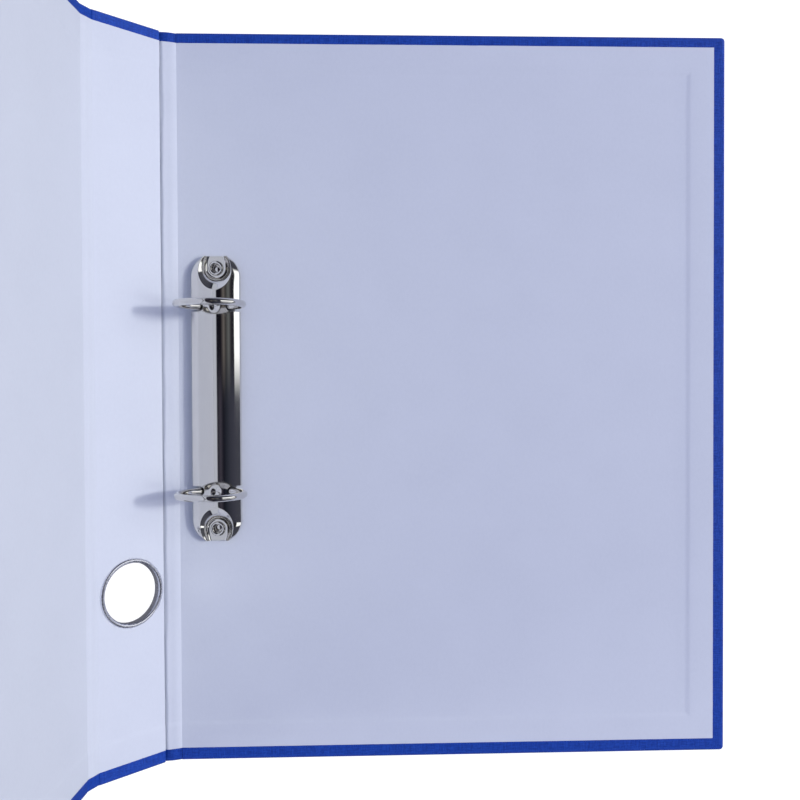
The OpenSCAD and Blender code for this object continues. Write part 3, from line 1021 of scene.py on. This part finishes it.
def metal_material(name, colour, roughness, brushed):
    """Plated or brushed steel with faint drawing lines and handling haze."""
    material, m = new_material(name)
    place_in = m.node("ShaderNodeTexCoord").outputs["Object"]
    haze = m.noise(m.scaled(place_in, 160, 160, 160), 1.0, 4.0)
    drawn = m.noise(m.scaled(place_in, 9000, 90, 9000), 1.0, 2.0)
    m.surface.inputs["Metallic"].default_value = 1.0
    light = tuple(min(1.0, c * 1.05) for c in colour)
    m.join(m.mix(haze, colour, light), m.surface, "Base Color")
    level = m.math("MULTIPLY_ADD", haze, 0.06, roughness - 0.03)
    m.join(m.math("MULTIPLY_ADD", drawn, 0.25 * brushed, level), m.surface, "Roughness")
    m.bump(drawn, 0.05 + 0.4 * brushed, 0.01 * MM)
    return material


def board_material():
    """Grey recycled board with flecks."""
    material, m = new_material("greyboard")
    place_in = m.node("ShaderNodeTexCoord").outputs["Object"]
    fleck = m.noise(m.scaled(place_in, 1500, 1500, 1500), 1.0, 5.0, 0.7)
    colour = m.ramp(fleck, [(0.35, (0.16, 0.14, 0.12)), (0.55, (0.27, 0.25, 0.22)),
                            (0.75, (0.38, 0.36, 0.33))])
    m.join(colour, m.surface, "Base Color")
    m.surface.inputs["Roughness"].default_value = 0.95
    m.bump(fleck, 0.4, 0.1 * MM)
    return material


def floor_material():
    """White to the camera, dim as a source of light, with faint clouding."""
    material, m = new_material("pale_floor")
    place_in = m.node("ShaderNodeTexCoord").outputs["Object"]
    cloud = m.noise(place_in, 3.0)
    colour = m.ramp(cloud, [(0.3, (0.15, 0.15, 0.145)), (0.7, (0.17, 0.17, 0.16))])
    m.join(colour, m.surface, "Base Color")
    m.surface.inputs["Roughness"].default_value = 0.9
    m.surface.inputs["Specular IOR Level"].default_value = 0.0
    m.surface.inputs["Emission Color"].default_value = (1, 1, 1, 1)
    seen = m.node("ShaderNodeLightPath").outputs["Is Camera Ray"]
    m.join(m.math("MULTIPLY_ADD", seen, 0.94, 0.04), m.surface, "Emission Strength")
    return material


def paint(obj, material):
    """Gives the object this one material."""
    obj.data.materials.clear()
    obj.data.materials.append(material)


# ---------------------------------------------------------------- the pieces

BLUE = covering_material()
PAPER = lining_material()
NICKEL = metal_material("bright_nickel", (0.67, 0.65, 0.615), 0.07, 0.0)
SATIN = metal_material("satin_nickel", (0.70, 0.70, 0.75), 0.27, 0.0)
STEEL = metal_material("brushed_steel", (0.62, 0.62, 0.63), 0.28, 1.0)
BOARD = board_material()

RIVET_HOLES = [(0.0, y, RIVET_BLOCK, HEAD_RADIUS + 0.03 * MM, 0.14 * MM) for y in RIVETS_Y]
TUBE_HOLES = [(0.0, y, RIVET_BLOCK, RIVET_TUBE, 0.0) for y in RIVETS_Y]
EYELET_HOLES = [(EYELET_U, EYELET_Y, EYELET_BLOCK, EYELET_HOLE, 0.0)]


def attach(obj, place_name):
    """Rides a sheet on the spine, or else bakes its transform so that it stays fixed where it stands."""
    if place_name == "spine":
        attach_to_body(obj, "spine")
        return
    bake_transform(obj)


STEP_LINES = lines([COVER_EDGE - TURN_IN - TURN_STEP, COVER_EDGE - TURN_IN], TURN_STEP / STEP_ROWS)
FRONT_STEP_LINES = lines([FRONT_EDGE + TURN_IN, FRONT_EDGE + TURN_IN + TURN_STEP], TURN_STEP / STEP_ROWS)
LINING_INSET = COVER_EDGE - LINING_HIGH.x
SHEETS = {
    "back": ("back_cover_cloth", "back_lining",
             covering("covering_back", SEAMS[0], None, COVER_EDGE, RIVET_HOLES),
             lining("lining_back", SEAMS[0], LINING_HIGH.x, STEP_LINES, TUBE_HOLES)),
    "back_gap": ("back_hinge_cloth", "back_hinge_lining",
                 covering("covering_back_gap", SEAMS[1], SEAMS[0]),
                 lining("lining_back_gap", SEAMS[1], SEAMS[0])),
    "spine": ("spine_cloth", "spine_lining",
              covering("covering_spine", SEAMS[2], SEAMS[1], None, EYELET_HOLES),
              lining("lining_spine", SEAMS[2], SEAMS[1], (), EYELET_HOLES)),
    "front_gap": ("front_hinge_cloth", "front_hinge_lining",
                  covering("covering_front_gap", SEAMS[3], SEAMS[2]),
                  lining("lining_front_gap", SEAMS[3], SEAMS[2])),
    "front": ("front_cover_cloth", "front_lining",
              covering("covering_front", None, SEAMS[3], FRONT_EDGE),
              lining("lining_front", FRONT_EDGE + LINING_INSET, SEAMS[3], FRONT_STEP_LINES)),
}
for place_name, (cloth_node, lining_node, cloth_piece, lining_piece) in SHEETS.items():
    for piece, node, material, slot in ((cloth_piece, cloth_node, BLUE, "covering"),
                                        (lining_piece, lining_node, PAPER, "lining")):
        paint(piece, material)
        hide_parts(node)
        attach(piece, place_name)

METAL = [
    (thumb_eyelet(), "spine", ("thumb_eyelet", "thumb_eyelet_ring")),
    (ring_plate(), "back_cover", ("ring_plate",)),
    (rivet("rivet_upper", RIVETS_Y[0]), "back_cover", ("upper_rivet",)),
    (rivet("rivet_lower", RIVETS_Y[1]), "back_cover", ("lower_rivet",)),
    (half_ring("ring_upper_left", -1, RING_Y[0]), "left_jaw", ("upper_left_half_ring",)),
    (half_ring("ring_upper_right", 1, RING_Y[0]), "right_jaw", ("upper_right_half_ring",)),
    (half_ring("ring_lower_left", -1, RING_Y[1]), "left_jaw", ("lower_left_half_ring",)),
    (half_ring("ring_lower_right", 1, RING_Y[1]), "right_jaw", ("lower_right_half_ring",)),
]
for piece, body, nodes in METAL:
    paint(piece, SATIN if piece.name == "thumb_eyelet_rolled" else NICKEL)
    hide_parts(*nodes)
    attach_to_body(piece, body)

for node, material in (("left_blade", STEEL), ("right_blade", STEEL), ("back_board", BOARD),
                       ("spine_board", BOARD), ("front_board", BOARD)):
    paint(frame["nodes"][node], material)


# ---------------------------------------------------------------- floor, light and camera

FLOOR_HALF = 2.5
FLOOR_DROP = 0.05 * MM


def make_floor():
    """A pale floor just under the binder."""
    bm = bmesh.new()
    bmesh.ops.create_grid(bm, x_segments=12, y_segments=12, size=FLOOR_HALF)
    floor = mesh_object("floor", bm)
    floor.location.z = cad_low.z - FLOOR_DROP
    paint(floor, floor_material())


WINDOW_AZIMUTH = math.radians(7)
WINDOW_RISE = math.radians(37)
LIGHT_DISTANCE = 2.2
BEHIND = WINDOW_AZIMUTH + math.pi

# name, azimuth, height angle, diameter in metres, watts
LIGHTS = [
    ("key_broad", WINDOW_AZIMUTH, WINDOW_RISE, 1.9, 41),
    ("key_core", WINDOW_AZIMUTH, WINDOW_RISE, 0.25, 24),
    ("fill", WINDOW_AZIMUTH, math.radians(80), 1.9, 5),
    ("fill_behind", BEHIND, math.radians(20), 1.2, 26),
]


def make_light(name, azimuth, rise, size, energy):
    """A round soft light at this azimuth and height, facing the part, unseen in the metal."""
    data = bpy.data.lights.new(name, "AREA")
    data.shape = "DISK"
    data.size = size
    data.energy = energy
    data.color = (1.0, 0.99, 0.98)
    light = bpy.data.objects.new(name, data)
    bpy.context.scene.collection.objects.link(light)
    centre = (cad_low + cad_high) / 2
    flat = math.cos(rise)
    towards = Vector((flat * math.cos(azimuth), flat * math.sin(azimuth), math.sin(rise)))
    light.location = Vector((centre.x, centre.y, 0)) + towards * LIGHT_DISTANCE
    light.rotation_mode = "QUATERNION"
    light.rotation_quaternion = towards.to_track_quat("Z", "Y")
    light.visible_glossy = False


# What bright metal reflects, by the angle from straight up towards the window, in degrees
BANDS_WINDOW = [(-90, (0.61, 0.66, 0.80)), (-4.5, (0.60, 0.64, 0.76)), (-3.5, (0.006, 0.006, 0.012)),
                (8, (0.010, 0.009, 0.013)), (11, (0.05, 0.045, 0.05)), (16, (0.17, 0.155, 0.15)),
                (22, (0.05, 0.048, 0.050)), (30, (0.15, 0.16, 0.165)), (37, (0.03, 0.028, 0.034)),
                (45.5, (0.02, 0.02, 0.03)), (46.5, (1.7, 1.75, 1.8)), (90, (1.7, 1.75, 1.8))]
BANDS_WALL = [(-90, (0.61, 0.66, 0.80)), (-4.5, (0.60, 0.64, 0.76)), (-3.5, (0.02, 0.02, 0.03)),
              (5, (0.060, 0.055, 0.078)), (14, (0.010, 0.011, 0.020)), (22, (0.025, 0.030, 0.045)),
              (31, (0.043, 0.046, 0.068)), (40, (0.055, 0.058, 0.085)), (90, (0.10, 0.105, 0.13))]
WINDOW_TURN = math.radians(4)

# Where along Y the window is seen: (slope, offset) of its two soft ends, and a second strip
WINDOW_ENDS = [(20.0, 0.3), (-12.0, 5.5)]
STRIP_MIDDLE = -0.37
STRIP_HALF = 0.06
ROOM_BLUE = (0.03, 0.14, 1.0)
ROOM_LEVEL = 0.35
BACKDROP = (0.92, 0.94, 0.97)


def make_world():
    """Blue room light, a pale backdrop for the camera, and bands that only bright metal sees."""
    world = bpy.data.worlds.new("studio")
    bpy.context.scene.world = world
    world.use_nodes = True
    tree = world.node_tree
    tree.nodes.clear()
    m = Maker(tree)
    direction = m.node("ShaderNodeTexCoord").outputs["Generated"]
    parts = m.node("ShaderNodeSeparateXYZ")
    m.join(direction, parts, "Vector")
    level = m.math("MULTIPLY", parts.outputs["Y"], math.sin(WINDOW_TURN))
    level = m.math("MULTIPLY_ADD", parts.outputs["X"], math.cos(WINDOW_TURN), level)
    angle = m.math("ARCTAN2", level, parts.outputs["Z"])
    share = m.math("MULTIPLY_ADD", angle, 1 / math.pi, 0.5)

    def band(stops):
        return m.ramp(share, [((degrees + 90) / 180, colour) for degrees, colour in stops])

    near, far = [m.math("MULTIPLY_ADD", parts.outputs["Y"], *end) for end in WINDOW_ENDS]
    side = m.math("MINIMUM", near, far)
    side = m.math("MINIMUM", m.math("MAXIMUM", side, 0.0), 1.0)
    strip = m.math("COMPARE", parts.outputs["Y"], STRIP_MIDDLE, STRIP_HALF)
    side = m.math("MAXIMUM", side, strip)
    seen = m.mix(side, band(BANDS_WALL), band(BANDS_WINDOW))
    rays = m.node("ShaderNodeLightPath")
    colour = m.mix(rays.outputs["Is Glossy Ray"], ROOM_BLUE, seen)
    strength = m.math("MULTIPLY_ADD", rays.outputs["Is Glossy Ray"], 1 - ROOM_LEVEL, ROOM_LEVEL)
    colour = m.mix(rays.outputs["Is Camera Ray"], colour, BACKDROP)
    strength = m.math("MAXIMUM", strength, rays.outputs["Is Camera Ray"])
    background = m.node("ShaderNodeBackground")
    m.join(colour, background, "Color")
    m.join(strength, background, "Strength")
    output = m.node("ShaderNodeOutputWorld")
    m.join(background.outputs["Background"], output, "Surface")


LENS_MM = 41.0
SENSOR_MM = 36
CAMERA_PLACE = (66.23 * MM, 6.60 * MM, 404.78 * MM)
CAMERA_TURN = [math.radians(degrees) for degrees in (-1.062, -1.993, -0.247)]


def make_camera():
    """Looks down on the open binder from the photograph's viewing angle."""
    data = bpy.data.cameras.new("camera")
    data.sensor_width = SENSOR_MM
    data.lens = LENS_MM
    data.clip_start = 0.01
    camera = bpy.data.objects.new("camera", data)
    bpy.context.scene.collection.objects.link(camera)
    camera.location = CAMERA_PLACE
    camera.rotation_euler = CAMERA_TURN
    bpy.context.scene.camera = camera


make_floor()
for light_values in LIGHTS:
    make_light(*light_values)
make_world()
make_camera()
bpy.context.scene.view_settings.view_transform = "Standard"
